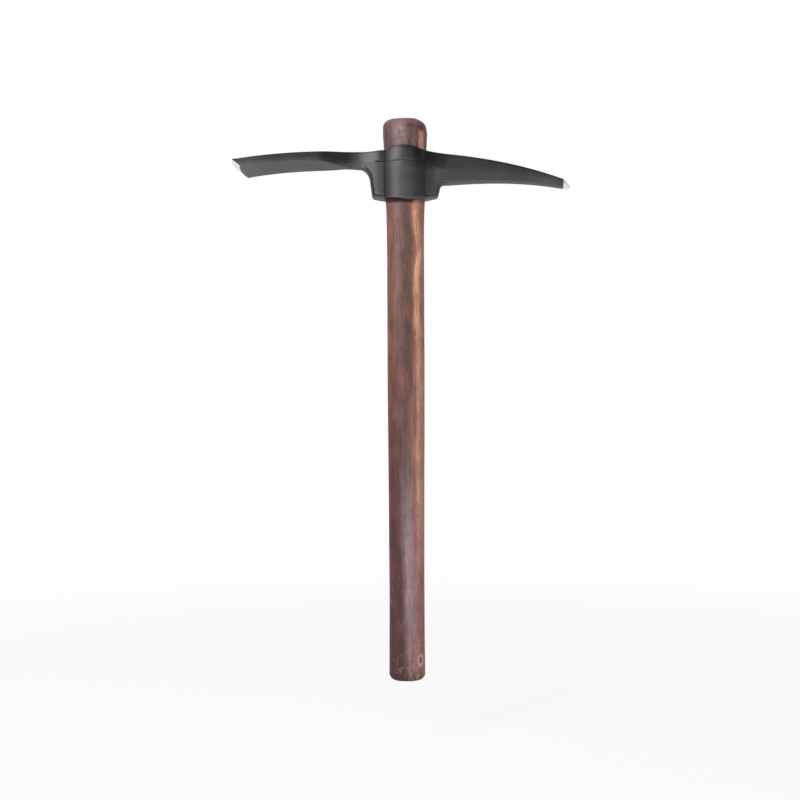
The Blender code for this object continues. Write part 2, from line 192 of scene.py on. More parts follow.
class Bench:
    """A node tree in the making."""

    def __init__(self, tree: bpy.types.NodeTree) -> None:
        """Start on an empty tree."""
        self.tree = tree
        tree.nodes.clear()

    def node(self, kind: str, settings: Optional[Mapping[str, object]] = None,
             sockets: Optional[Mapping[Union[str, int], object]] = None) -> bpy.types.Node:
        """Add one node.

        Args:
            kind: The node's type.
            settings: Its own settings, such as a Math node's operation. They are set first.
            sockets: Values, wires or sockets for its inputs, by name or number.

        Returns:
            The node.
        """
        made = self.tree.nodes.new(kind)
        for name, value in (settings or {}).items():
            setattr(made, name, value)
        for name, value in (sockets or {}).items():
            if isinstance(value, Wire):
                value = value.socket
            if isinstance(value, bpy.types.NodeSocket):
                self.tree.links.new(value, made.inputs[name])
            elif isinstance(value, tuple) and made.inputs[name].type == "RGBA":
                made.inputs[name].default_value = (*value, 1.0)
            else:
                made.inputs[name].default_value = value
        return made

    def wire(self, kind: str, settings: Optional[Mapping[str, object]] = None,
             sockets: Optional[Mapping[Union[str, int], object]] = None,
             output: Union[str, int] = 0) -> Wire:
        """Add one node and take a number from it."""
        return Wire(self, self.node(kind, settings, sockets).outputs[output])

    def place(self) -> bpy.types.NodeSocket:
        """Return the place on the piece, in metres."""
        return self.node("ShaderNodeTexCoord").outputs["Object"]

    def split(self, place: bpy.types.NodeSocket) -> tuple[Wire, Wire, Wire]:
        """Return the three numbers of a place."""
        parts = self.node("ShaderNodeSeparateXYZ", {}, {0: place})
        return tuple(Wire(self, output) for output in parts.outputs)

    def speckle(self, place: bpy.types.NodeSocket, scale: float, detail: float = 2.0,
                distortion: float = 0.0) -> Wire:
        """Return soft noise between 0 and 1."""
        return self.wire("ShaderNodeTexNoise", {}, {
            "Vector": place, "Scale": scale, "Detail": detail, "Distortion": distortion})

    def drawn_out(self, place: bpy.types.NodeSocket, scales: Place, detail: float = 2.0,
                  distortion: float = 0.0) -> Wire:
        """Return soft noise between 0 and 1, with its own scale along each axis."""
        stretched = self.node("ShaderNodeMapping", {}, {"Vector": place, "Scale": scales})
        return self.speckle(stretched.outputs[0], 1.0, detail, distortion)

    def marked(self, name: str) -> Wire:
        """Return what the mesh says under a name at each point."""
        return self.wire("ShaderNodeAttribute", {"attribute_name": name}, output="Fac")

    def mixed(self, share: Number, first: object, second: object,
              blend: str = "MIX") -> bpy.types.NodeSocket:
        """Mix two colours."""
        made = self.node("ShaderNodeMix", {"data_type": "RGBA", "blend_type": blend},
                         {0: share, 6: first, 7: second})
        return made.outputs[2]

    def shade(self, amount: Wire) -> bpy.types.NodeSocket:
        """Turn a number into a grey, to multiply a colour by."""
        return self.node("ShaderNodeCombineColor", {}, {0: amount, 1: amount, 2: amount}).outputs[0]

    def bump(self, strength: float, distance: float, height: Wire) -> bpy.types.NodeSocket:
        """Return the normals of a surface with fine hills of this height."""
        return self.node("ShaderNodeBump", {}, {
            "Strength": strength, "Distance": distance, "Height": height}).outputs[0]

    def either(self, share: Wire, first: bpy.types.Node, second: bpy.types.Node
               ) -> bpy.types.NodeSocket:
        """Mix two shaders."""
        made = self.node("ShaderNodeMixShader", {}, {
            0: share, 1: first.outputs[0], 2: second.outputs[0]})
        return made.outputs[0]


@dataclass(frozen=True)
class Finish:
    """What every finish shares: a name, and a Principled shader on an empty bench."""

    name: str

    def begun(self) -> tuple[bpy.types.Material, Bench, bpy.types.Node]:
        """Start the finish's material."""
        made = bpy.data.materials.new(self.name)
        made.use_nodes = True
        bench = Bench(made.node_tree)
        shader = bench.node("ShaderNodeBsdfPrincipled")
        bench.node("ShaderNodeOutputMaterial", {}, {"Surface": shader.outputs[0]})
        return made, bench, shader

    @staticmethod
    def feed(bench: Bench, shader: bpy.types.Node, **sources: object) -> None:
        """Link wires to the shader's inputs, which are named with underscores for spaces."""
        for name, source in sources.items():
            socket = source.socket if isinstance(source, Wire) else source
            bench.tree.links.new(socket, shader.inputs[name.replace("_", " ")])


@dataclass(frozen=True)
class PhosphateCoat(Finish):
    """Dark grey phosphate on forged steel, rubbed lighter along its edges, with painted shade and a painted
    highlight.
    """

    name: str = "phosphate_coat"
    dark: Colour = (0.060, 0.057, 0.060)
    light: Colour = (0.092, 0.087, 0.092)
    # the rubbed edges, and the painted highlight on the lip's chamfer under the ears
    edge_wear_and_highlight: Colour = (0.175, 0.170, 0.172)
    rubbed: Colour = (0.150, 0.148, 0.146)  # near the cutting edge and the point
    rubbed_adze: Band = (-0.120, -0.134)    # in X
    rubbed_pick: Band = (0.100, 0.122)
    scale: Colour = (0.028, 0.027, 0.028)   # painted shade on the collar's upper right, where it runs up into the pick
    shade_across: tuple[float, float, float, float] = (0.0045, 0.0105, 0.0300, 0.0430)
    shade_up: Band = (0.440, 0.453)
    shade_colour: Colour = (0.012, 0.012, 0.012)    # painted shade in the creases and on the lip's chamfer under the bulge
    metal: float = 0.87                     # how metallic the coat is
    rough: float = 0.472
    edge_tint: Colour = (0.72, 0.72, 0.72)  # of what it mirrors at a glancing angle
    crystals: float = 1500.0
    clouds: float = 70.0
    scale_marks: float = 240.0
    relief: float = 0.0003                  # the height of its fine hills

    def made(self) -> bpy.types.Material:
        """Make the material."""
        material, bench, shader = self.begun()
        place = bench.place()
        x, _, z = bench.split(place)
        crystals = bench.speckle(place, self.crystals, 2.0)
        clouds = bench.speckle(place, self.clouds, 5.0)
        marks = bench.speckle(place, self.scale_marks, 3.0)
        # edge wear, and the painted highlight on the lip's chamfer under the ears
        wear_and_highlight = bench.marked("wear") * (marks * 0.7 + 0.3)
        # painted shade, in the creases and on the lip's chamfer under the bulge
        shade_mask = bench.marked("painted_shade")
        tone = clouds * 0.7 + crystals * 0.3
        # painted shade on the collar's upper right, above the seam, the side turned from the key light
        shaded_top_right = x.band(*self.shade_across) * z.rise(*self.shade_up)
        ends = x.rise(*self.rubbed_adze) * 0.45 + x.rise(*self.rubbed_pick) * 0.35
        coat = bench.mixed(tone.rise(0.20, 0.80), self.dark, self.light)
        coat = bench.mixed(wear_and_highlight.rise(0.15, 0.65) * 0.8, coat, self.edge_wear_and_highlight)
        coat = bench.mixed(shaded_top_right * 0.72, coat, self.scale)
        coat = bench.mixed(ends, coat, self.rubbed)
        coat = bench.mixed(shade_mask.rise(0.2, 0.8) * 0.75, coat, self.shade_colour)
        self.feed(bench, shader, Base_Color=coat, Metallic=wear_and_highlight * 0.2 + self.metal,
                  Roughness=clouds * 0.05 + self.rough - wear_and_highlight * 0.06 + shade_mask * 0.35,
                  Normal=bench.bump(0.35, self.relief, crystals * 0.35 + marks * 0.65))
        shader.inputs["Specular Tint"].default_value = (*self.edge_tint, 1.0)
        return material


@dataclass(frozen=True)
class GroundSteel(Finish):
    """Bright steel with fine grinding lines along X."""

    name: str = "ground_steel"
    bright: Colour = (0.86, 0.86, 0.85)
    dull: Colour = (0.70, 0.70, 0.70)
    lines: Place = (40.0, 1500.0, 1500.0)
    rough: float = 0.26
    relief: float = 0.0001

    def made(self) -> bpy.types.Material:
        """Make the material."""
        material, bench, shader = self.begun()
        scratches = bench.drawn_out(bench.place(), self.lines, 3.0)
        colour = bench.mixed(scratches.rise(0.3, 0.7), self.dull, self.bright)
        self.feed(bench, shader, Base_Color=colour, Roughness=self.rough + scratches * 0.14,
                  Normal=bench.bump(0.25, self.relief, scratches))
        shader.inputs["Metallic"].default_value = 1.0
        return material


@dataclass(frozen=True)
class Grain:
    """The places and the patterns in the wood that its dressings share."""

    x: Wire
    y: Wire
    z: Wire
    across: Wire        # x, as it sways with the grain
    low: Wire           # 0 near the head, 1 near the butt
    knob: Wire          # 1 on the end that stands above the collar
    mottles: Wire
    streaks: Wire
    pores: Wire
    patches: Wire
    flecks: Wire


@dataclass(frozen=True, kw_only=True)
class StainedWood(Finish):
    """Brown stained hardwood: a drifting painted sheen, an amber streak with painted highlights, painted
    shadow under the lip, mottles and one small knot.
    """

    length: float
    seat_low: float
    seat_high: float
    name: str = "stained_grain"
    brown: Colour = (0.160, 0.056, 0.033)       # the left side near the head
    dark_brown: Colour = (0.066, 0.013, 0.015)  # and near the butt
    ruddy: Colour = (0.300, 0.138, 0.106)       # the right side near the head
    pink_brown: Colour = (0.330, 0.142, 0.128)  # and near the butt
    hollow: Colour = (0.090, 0.042, 0.034)
    # the streak's lighter wood with a painted highlight in it, and the painted highlight at the knob's
    # corner
    amber: Colour = (0.600, 0.290, 0.200)
    # painted glint in the streak
    pale_amber: Colour = (0.860, 0.470, 0.290)
    mauve: Colour = (0.124, 0.071, 0.064)       # the painted sheen near the head
    lilac: Colour = (0.290, 0.200, 0.218)       # and near the butt
    red_mottle: Colour = (0.230, 0.080, 0.055)  # near the head
    plum_mottle: Colour = (0.190, 0.062, 0.062)  # and near the butt
    bare_fleck: Colour = (0.560, 0.400, 0.380)
    knot_rim: Colour = (0.740, 0.410, 0.350)
    knob_brown: Colour = (0.092, 0.050, 0.050)
    # painted sheen on the knob
    knob_sheen: Colour = (0.200, 0.138, 0.138)
    end_grain: Colour = (0.270, 0.115, 0.105)
    # the pores, the crack and the knot's core, and the painted shadow under the head's lip
    pore_and_shadow: Colour = (0.040, 0.018, 0.015)
    knot_x: float = 0.0114
    knot_z: float = 0.0185
    knot_half: Point = (0.0026, 0.0054)
    sway: float = 0.0030                        # how far the grain sways
    fine_sway: float = 0.0034
    sway_scales: Place = (14.0, 14.0, 5.0)      # every pattern is drawn out along the handle
    fine_sway_scales: Place = (70.0, 70.0, 30.0)
    mottle_scales: Place = (170.0, 170.0, 60.0)
    streak_scales: Place = (260.0, 260.0, 9.0)
    fibre_scales: Place = (900.0, 900.0, 30.0)
    patch_scales: Place = (95.0, 95.0, 40.0)
    fleck_scales: Place = (520.0, 520.0, 240.0)
    relief: float = 0.0003

    def read_grain(self, bench: Bench) -> Grain:
        """Make the patterns that the dressings share."""
        place = bench.place()
        x, y, z = bench.split(place)
        sway = bench.drawn_out(place, self.sway_scales, 2.0)
        fine_sway = bench.drawn_out(place, self.fine_sway_scales, 3.0)
        return Grain(
            x=x, y=y, z=z,
            across=x + (sway - 0.5) * self.sway + (fine_sway - 0.5) * self.fine_sway,
            low=z.rise(0.36, 0.12),
            knob=z.rise(self.seat_high - 0.0075, self.seat_high - 0.0020),
            mottles=bench.drawn_out(place, self.mottle_scales, 3.0, 0.6),
            streaks=bench.drawn_out(place, self.streak_scales, 4.0, 0.4),
            pores=bench.drawn_out(place, self.fibre_scales, 2.0, 0.2).rise(0.42, 0.33),
            patches=bench.drawn_out(place, self.patch_scales, 3.0, 0.5),
            flecks=bench.drawn_out(place, self.fleck_scales, 3.0, 0.8))

    def two_sides(self, bench: Bench, grain: Grain) -> bpy.types.NodeSocket:
        """Return the colours of the left and right sides, with the hollow and a painted sheen between."""
        across, z = grain.across, grain.z
        left = bench.mixed(grain.low, self.brown, self.dark_brown)
        right = bench.mixed(z.rise(0.26, 0.10), self.ruddy, self.pink_brown)
        wood = bench.mixed(across.rise(-0.0015, 0.0070), left, right)
        hollow = across.near(0.0012, 0.0058, 0.0016) * z.rise(0.20, 0.30)
        wood = bench.mixed(hollow * 0.85, wood, self.hollow)
        # painted sheen, which drifts to the right lower down the handle
        middle = z.rise(0.33, 0.17) * 0.0078 + z.rise(0.14, 0.07) * 0.0020 - 0.0072
        level = 0.25 + z.rise(0.30, 0.34) * 0.30 + z.rise(0.24, 0.13) * 0.70
        sheen = across.near(middle, 0.0082, 0.0012) * level * (z.rise(0.01, 0.07) * 0.6 + 0.4)
        return bench.mixed(sheen, wood, bench.mixed(z.rise(0.24, 0.09), self.mauve, self.lilac))

    def streaked(self, bench: Bench, grain: Grain, wood: bpy.types.NodeSocket) -> bpy.types.NodeSocket:
        """Add the amber streak on the right, lighter wood with a painted highlight in it, and a paler
        painted glint.
        """
        z = grain.z
        streak = grain.across - z.rise(0.34, 0.26) * 0.0022 - z.near(0.375, 0.032, 0.004) * 0.0022
        amber = streak.band(0.0050, 0.0072, 0.0088, 0.0168) * z.rise(0.060, 0.165)
        wood = bench.mixed(amber * 0.9, wood, self.amber)
        glint = streak.band(0.0058, 0.0076, 0.0092, 0.0118) * z.rise(0.270, 0.330)
        return bench.mixed(glint * 0.55, wood, self.pale_amber)

    def patched(self, bench: Bench, grain: Grain, wood: bpy.types.NodeSocket) -> bpy.types.NodeSocket:
        """Add the red patches."""
        mottle = bench.mixed(grain.low, self.red_mottle, self.plum_mottle)
        return bench.mixed(grain.patches.rise(0.46, 0.62) * (0.34 - grain.low * 0.16), wood, mottle)

    def capped(self, bench: Bench, grain: Grain, wood: bpy.types.NodeSocket) -> bpy.types.NodeSocket:
        """Stain the knob above the collar darker, with a painted sheen, and paint an amber highlight near
        its right corner.
        """
        stain_and_sheen = bench.mixed(grain.across.near(-0.0034, 0.0090, 0.0010), self.knob_brown, self.knob_sheen)
        wood = bench.mixed(grain.knob * 0.92, wood, stain_and_sheen)
        corner_highlight = grain.x.band(0.0106, 0.0128, 0.0150, 0.0178) * grain.z.rise(0.4790, 0.4735)
        return bench.mixed(grain.knob * corner_highlight * 0.95, wood, self.amber)

    def figured(self, bench: Bench, grain: Grain, wood: bpy.types.NodeSocket) -> bpy.types.NodeSocket:
        """Add the mottles, the butt's dark rim, bare flecks, pores and the crack in the knob."""
        x, z, flecks = grain.x, grain.z, grain.flecks
        tone = (0.46 + grain.mottles * 1.08) * (0.80 + grain.streaks * 0.40)
        tone = tone * (0.74 + grain.patches * 0.52)
        scuffed = grain.knob + z.rise(0.060, 0.010)
        rim = z.rise(0.012, 0.002) * (flecks.rise(0.58, 0.42) * 0.50 + 0.34)
        tone = tone * ((flecks - 0.5) * (scuffed + 0.7) + 1.0) * (1.0 - rim)
        wood = bench.mixed(1.0, wood, bench.shade(tone), "MULTIPLY")
        wood = bench.mixed(flecks.rise(0.66, 0.73) * z.rise(0.150, 0.030) * 0.42, wood, self.bare_fleck)
        crack = (x * 0.15 + z).near(0.4812, 0.0009, 0.0002) * x.rise(0.003, 0.005)
        return bench.mixed(grain.pores * (0.40 - grain.knob * 0.25) + crack * 0.6, wood, self.pore_and_shadow)

    def knotted(self, bench: Bench, grain: Grain, wood: bpy.types.NodeSocket) -> bpy.types.NodeSocket:
        """Add the ragged knot near the butt, on the front only."""
        off_x = ((grain.x - self.knot_x) / self.knot_half[0]) ** 2
        off_z = ((grain.z - self.knot_z) / self.knot_half[1]) ** 2
        off = (off_x + off_z) ** 0.5 + (grain.flecks - 0.5) * 1.6 + (grain.mottles - 0.5) * 1.2
        off = off + grain.y.rise(-0.004, 0.0) * 9.0
        wood = bench.mixed(off.rise(1.35, 0.75) * 0.7, wood, self.knot_rim)
        return bench.mixed(off.rise(0.48, 0.20) * 0.8, wood, self.pore_and_shadow)

    def made(self) -> bpy.types.Material:
        """Make the material."""
        material, bench, shader = self.begun()
        grain = self.read_grain(bench)
        wood = self.two_sides(bench, grain)
        for dress in (self.streaked, self.patched, self.capped, self.figured, self.knotted):
            wood = dress(bench, grain, wood)
        end = grain.z.rise(self.length - 0.0062, self.length - 0.0025)
        wood = bench.mixed(end * 0.6, wood, self.end_grain)
        low = self.seat_low
        lip_shadow = grain.z.band(low - 0.0022, low - 0.0008, low + 0.001, low + 0.003)  # painted shadow of the head's lip on the wood
        lip_shadow = lip_shadow * (grain.x.rise(0.0085, 0.0045) * 0.65 + 0.35)
        wood = bench.mixed(lip_shadow * 0.9, wood, self.pore_and_shadow)
        height = grain.mottles * 0.3 + grain.streaks * 0.3 - grain.pores * 0.4
        self.feed(bench, shader, Base_Color=wood, Normal=bench.bump(0.5, self.relief, height),
                  Roughness=0.46 + grain.streaks * 0.16 + grain.pores * 0.15 + lip_shadow * 0.35)
        return material


# The pieces

def placed(shape: bmesh.types.BMesh, name: str) -> bpy.types.Object:
    """Put a shape into the scene as an object of its own, and free the shape."""
    mesh = bpy.data.meshes.new(name)
    shape.to_mesh(mesh)
    shape.free()
    made = bpy.data.objects.new(name, mesh)
    bpy.context.scene.collection.objects.link(made)
    return made


def finished(shape: bmesh.types.BMesh, name: str, body: Body, node: str,
             finishes: Sequence[bpy.types.Material]) -> bpy.types.Object:
    """Turn a shape into a piece that stands for a node.

    Args:
        shape: The finished shape, in the model's frame.
        name: The piece's name.
        body: What it rides on.
        node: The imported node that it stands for.
        finishes: Its materials, in the order of the faces' numbers.

    Returns:
        The piece.
    """
    piece = placed(shape, name)
    for finish in finishes:
        piece.data.materials.append(finish)
    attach(piece, body.value)
    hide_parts(node)
    LOG.info("%s: %d faces, rides on %s", name, len(piece.data.polygons), body.value)
    return piece


def mark_edges(shape: bmesh.types.BMesh, sharp_deg: float = 24.0, full_deg: float = 45.0,
               passes: int = 2, reach: float = 0.0012, share: float = 0.45) -> None:
    """Mark crisp edges as sharp, and write how worn each vertex is, and how much painted shade its concave
    edges give it.

    Args:
        shape: The shape to mark.
        sharp_deg: Edges that turn by more than this are crisp.
        full_deg: Edges that turn by this much are fully worn where convex, and fully shaded where concave.
        passes: How often the marks are spread to their neighbours.
        reach: How near such a neighbour is.
        share: How much of its own mark a vertex hands on.
    """
    wear = shape.verts.layers.float.new("wear")
    painted_shade = shape.verts.layers.float.new("painted_shade")
    for face in shape.faces:
        face.smooth = True
    for edge in shape.edges:
        if len(edge.link_faces) != 2:
            continue
        turn = edge.calc_face_angle_signed(0.0)
        edge.smooth = abs(turn) < math.radians(sharp_deg)
        level = turn / math.radians(full_deg)
        for vert in edge.verts:
            vert[wear] = max(vert[wear], min(level, 1.0))
            # concave edges get painted shade
            vert[painted_shade] = max(vert[painted_shade], min(-level, 1.0))
    for layer in (wear, painted_shade) * passes:
        levels = []
        for vert in shape.verts:
            near = [edge.other_vert(vert)[layer] for edge in vert.link_edges
                    if edge.calc_length() < reach]
            levels.append(max(vert[layer], share * max(near, default=0.0)))
        for vert, level in zip(shape.verts, levels):
            vert[layer] = level


@dataclass(frozen=True)
class HandleSizes:
    """The handle's sizes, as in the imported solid."""

    length: float = 0.4875
    grip_width: float = 0.0323
    grip_depth: float = 0.0228
    butt_width: float = 0.0314
    waist_width: float = 0.0305
    waist_height: float = 0.080
    grip_height: float = 0.270
    neck_length: float = 0.040
    seat_low_width: float = 0.0340
    seat_high_width: float = 0.0374
    knob_width: float = 0.0385
    knob_height: float = 0.0240
    knob_swell: float = 0.0120
    knob_round: float = 0.0064
    butt_round: float = 0.0062
    fit_gap: float = 0.0003

    @property
    def ovality(self) -> float:
        """Depth over width of every section."""
        return self.grip_depth / self.grip_width


@dataclass(frozen=True)
class HeadSizes:
    """The head's sizes, measured from the handle's axis and from the parting plane."""

    edge_reach: float = 0.1470
    edge_width: float = 0.0660
    edge_bow: float = 0.0026
    edge_drop: float = 0.0019
    edge_land: float = 0.0004
    ground_length: float = 0.0066
    blade_thickness: float = 0.0065
    neck_width: float = 0.0142
    neck_waist: float = 0.0425
    shoulder_start: float = 0.0450
    neck_thickness: float = 0.0138
    neck_top: float = 0.0086
    neck_fillet: float = 0.0095
    neck_fillet_drop: float = 0.0130
    shoulder_reach: float = 0.0745
    shoulder_width: float = 0.0440
    blade_top: float = 0.0067
    blade_root_thickness: float = 0.0100
    point_reach: float = 0.1430
    point_drop: float = 0.0229
    point_length: float = 0.0058
    point_land: float = 0.0010
    pick_top: float = 0.0069
    pick_root_height: float = 0.0262
    pick_tip_height: float = 0.0079
    pick_root_width: float = 0.0174
    pick_tip_width: float = 0.0080
    pick_fillet: float = 0.0035
    ear_reach_adze: float = 0.0305
    ear_reach_pick: float = 0.0303
    ear_draft: float = 0.0013
    ear_width: float = 0.0240
    ear_fullest: float = 0.0195
    valley_width: float = 0.0222
    ear_top: float = 0.0094
    ear_bottom: float = 0.0313
    ear_slope: float = 0.0016
    ear_corner: float = 0.0033
    bulge_length: float = 0.0436
    bulge_width: float = 0.0366
    rim_rise: float = 0.0038
    lip_drop: float = 0.0032
    draft_up: float = 0.16
    draft_down: float = 0.05
    seam_turn: float = 0.0060
    adze_bend_power: float = 2.4
    adze_spread_power: float = 1.3
    pick_straight_share: float = 0.50
    pick_bend_power: float = 2.4

    @property
    def rim_top(self) -> float:
        """Highest place of the rim."""
        return self.ear_top + self.rim_rise

    @property
    def lip_bottom(self) -> float:
        """How far the lip hangs below the parting plane."""
        return self.ear_bottom + self.lip_drop

    @property
    def neck_reach(self) -> float:
        """Where the adze begins."""
        return self.ear_reach_adze + self.neck_fillet

    @property
    def pick_start(self) -> float:
        """Where the pick begins."""
        return self.ear_reach_pick + self.pick_fillet

    @property
    def valley(self) -> float:
        """Where an ear meets the bulge."""
        return self.bulge_length / 2 * math.sqrt(1 - (self.valley_width / self.bulge_width) ** 2)

    @property
    def ground(self) -> float:
        """Where the pick's ground point begins."""
        return self.point_reach - self.point_length


@dataclass
class MattockHead:
    """The forged head: adze, oval eye and pick in one piece of steel."""

    sizes: HeadSizes
    handle: HandleSizes
    chamfer_collar: float = 0.0019      # the crisp chamfer round the collar's lower edge
    chamfer_blade: float = 0.0007
    chamfer_fade: float = 0.0075        # over this length the collar's chamfer narrows
    ground_chamfer: float = 0.0001      # beside the bevel, whose corners are sharp
    top_round: float = 0.0010
    round_share: float = 0.35           # no corner takes more of the thickness than this
    neck_round: float = 0.0034          # under the neck, where the blade starts to spread
    neck_round_at: float = -0.0530
    neck_round_half: float = 0.0130
    pinch_reach: float = 0.0255         # where the adze side's ear starts to draw in beside the bulge
    bulge_fade: float = 0.0030          # the bulge's details come in over this length
    groove_width: float = 0.0009        # the fine line along the chamfer's inner edge
    groove_share: float = 0.06          # of the thickness, the most that half of it may be
    groove_depth: float = 0.00035
    groove_fade: float = 0.0030
    seam_width: float = 0.0007          # half the width of the parting seam
    seam_share: float = 0.08            # of the thickness, the most that it may be
    seam_height: float = -0.00034       # on the ears
    seam_loss: float = 0.30             # it is shallower by this share on the bulge
    seam_shift: float = -0.0006         # how far the seam lies from the parting plane
    seam_room: float = 0.15             # it keeps this share of the side from either corner
    seam_fade_adze: float = 0.0060
    seam_fade_pick: float = 0.0140
    pick_crown: float = 0.0045          # how softly the pick's sides turn over at the seam
    crown_fade: float = 0.0200
    lip_highlight: float = 0.62              # how strong the painted highlight on the chamfer under the ears is
    lip_highlight_share: float = 0.7         # of the chamfer's height
    lip_highlight_fade: float = 0.0006
    shadow_narrowing: float = 0.9         # of the strip of painted shadow under the bulge, towards the pick
    shadow_fade: float = 0.0008
    shadow_end: float = 0.0110            # its end, on the pick's side
    shadow_end_fade: float = 0.0040
    flat_steps: int = 5                 # from the middle plane to the corners, above and below
    corner_steps: int = 4               # across the chamfer
    side_steps: int = 5                 # from the chamfer to the seam
    upper_steps: int = 4                # from the seam to the top's rounding
    ground_steps: int = 4
    adze_steps: int = 60
    adze_crowding: float = 0.85         # below 1, the steps are closer near the neck
    fillet_steps: int = 14
    wall_steps: int = 6                 # down the ear's wall on the adze's side
    ear_corner_steps: int = 8
    ear_steps: int = 10                 # under an ear
    bulge_steps: int = 44
    pick_wall_steps: int = 4
    pick_fillet_steps: int = 8
    pick_steps: int = 44
    eye_sides: int = 144
    parting_height: float = field(init=False)
    collar_top: Callable[[float], float] = field(init=False)
    collar_bottom: Callable[[float], float] = field(init=False)
    lower: list[Point] = field(init=False, default_factory=list)
    upper: list[Point] = field(init=False, default_factory=list)

    def __post_init__(self) -> None:
        """Work out the curves of the side view."""
        s = self.sizes
        self.parting_height = self.handle.length - self.handle.knob_height - s.rim_top
        self.collar_top = curve_through([
            (-s.neck_reach, s.neck_top),
            (-s.ear_reach_adze, s.neck_top),
            (-s.valley * 1.25, s.ear_top),
            (-s.valley, s.ear_top + 0.1 * s.rim_rise),
            (-s.valley * 0.78, s.ear_top + 0.58 * s.rim_rise),
            (-s.valley * 0.4, s.ear_top + 0.92 * s.rim_rise),
            (0.0, s.rim_top),
            (s.valley * 0.4, s.ear_top + 0.75 * s.rim_rise),
            (s.valley * 0.72, s.ear_top + 0.3 * s.rim_rise),
            (s.valley, s.ear_top),
            (s.pick_start, s.pick_top),
        ])
        hang = s.lip_drop - s.ear_slope
        self.collar_bottom = curve_through([
            (-s.valley, -s.ear_bottom - s.ear_slope),
            (-s.valley * 0.5, -s.ear_bottom - s.ear_slope - 0.35 * hang),
            (s.valley * 0.12, -s.lip_bottom),
            (s.valley * 0.55, -s.ear_bottom - s.ear_slope - 0.55 * hang),
            (s.valley, -s.ear_bottom - s.ear_slope),
        ])

    def adze_share(self, x: float) -> float:
        """Return how far along the adze x lies: 0 at the neck, 1 at the cutting edge."""
        return (-x - self.sizes.neck_reach) / (self.sizes.edge_reach - self.sizes.neck_reach)

    def pick_share(self, x: float) -> float:
        """Return how far along the pick x lies: 0 at the eye, 1 where the point is ground."""
        return (x - self.sizes.pick_start) / (self.sizes.ground - self.sizes.pick_start)

    def flare(self, x: float) -> float:
        """Return how far the neck has turned into the blade at x, from 0 to 1."""
        s = self.sizes
        return ease((-x - s.shoulder_start) / (s.shoulder_reach - s.shoulder_start))

    def top(self, x: float) -> float:
        """Return the upper outline of the whole head."""
        s = self.sizes
        if x < -s.neck_reach:
            step = (s.neck_top - s.blade_top) * self.flare(x)
            return s.neck_top - step - (s.blade_top + s.edge_drop) * self.adze_share(x) ** s.adze_bend_power
        if x < s.pick_start:
            return self.collar_top(x)
        share = self.pick_share(x)
        drop = s.pick_top + s.point_drop - s.pick_tip_height
        bend = (1 - s.pick_straight_share) * share ** s.pick_bend_power
        return s.pick_top - drop * (s.pick_straight_share * share + bend)

    def adze_thickness(self, x: float) -> float:
        """Return the adze's thickness, which is greatest at the neck."""
        s = self.sizes
        root = s.blade_root_thickness + (s.neck_thickness - s.blade_root_thickness) * (1 - self.flare(x))
        return root - (s.blade_root_thickness - s.blade_thickness) * max(self.adze_share(x), 0.0)

    def pick_height(self, x: float) -> float:
        """Return the pick's height, which falls evenly to the ground point."""
        s = self.sizes
        return s.pick_root_height + (s.pick_tip_height - s.pick_root_height) * self.pick_share(x)

    def half_width(self, x: float) -> float:
        """Return half of the head's width in Y at its parting line."""
        s = self.sizes
        neck, ear, valley, pick = (size / 2 for size in (
            s.neck_width, s.ear_width, s.valley_width, s.pick_root_width))
        if x < -s.neck_waist:
            spread = ((-x - s.neck_waist) / (s.edge_reach - s.neck_waist)) ** s.adze_spread_power
            shoulder = s.shoulder_width / 2
            return neck + (shoulder - neck) * self.flare(x) + (s.edge_width / 2 - shoulder) * spread
        if x < -s.valley:
            swell = ease((x + s.neck_waist) / (s.neck_waist - s.ear_fullest))
            pinch = max((x + self.pinch_reach) / (self.pinch_reach - s.valley), 0) ** 2
            return neck + (ear - neck) * swell - (ear - valley) * pinch
        if x < s.valley:
            return s.bulge_width / 2 * math.sqrt(1 - (2 * x / s.bulge_length) ** 2)
        if x < s.ear_reach_pick:
            return pick + (valley - pick) * ((s.ear_reach_pick - x) / (s.ear_reach_pick - s.valley)) ** 2
        share = (x - s.ear_reach_pick) / (s.point_reach - s.ear_reach_pick)
        return pick + (s.pick_tip_width / 2 - pick) * share

    def parting(self, x: float) -> float:
        """Return the seam's height: level at the eye, halfway up the adze and the pick."""
        s = self.sizes
        if x < 0:
            height = self.adze_thickness(min(x, -s.neck_reach))
            share = ease((-x - s.ear_reach_adze) / s.neck_fillet)
        else:
            height = self.pick_height(max(x, s.pick_start))
            share = ease((x - s.seam_turn) / (s.pick_start - s.seam_turn))
        return (self.top(x) - height / 2) * share

    def bow(self, x: float, y: float, half: float) -> float:
        """Return how far a point of the adze moves out, so that its edge is bowed in plan."""
        share = max(self.adze_share(x), 0.0)
        return -self.sizes.edge_bow * share ** 2 * (1 - (y / half) ** 2)

    def draw_outlines(self) -> None:
        """Pair points of the lower outline with points of the upper one."""
        s = self.sizes
        self.lower, self.upper = [], []

        def pair(points: list[Point], start: float, end: float) -> None:
            """Add points of the lower outline, and as many evenly along the upper one."""
            self.lower.extend(points)
            self.upper.extend((x, self.top(x)) for x in spaced(start, end, len(points)))

        bevel_x = s.ground_length - s.edge_reach
        bevel = (bevel_x, self.top(bevel_x) - self.adze_thickness(bevel_x))
        pair(line((-s.edge_reach, -s.edge_drop - s.edge_land), bevel, self.ground_steps),
             -s.edge_reach, bevel_x)
        stations = spaced(bevel_x, -s.neck_reach, self.adze_steps, self.adze_crowding)
        self.lower.extend((x, self.top(x) - self.adze_thickness(x)) for x in stations)
        self.upper.extend((x, self.top(x)) for x in stations)

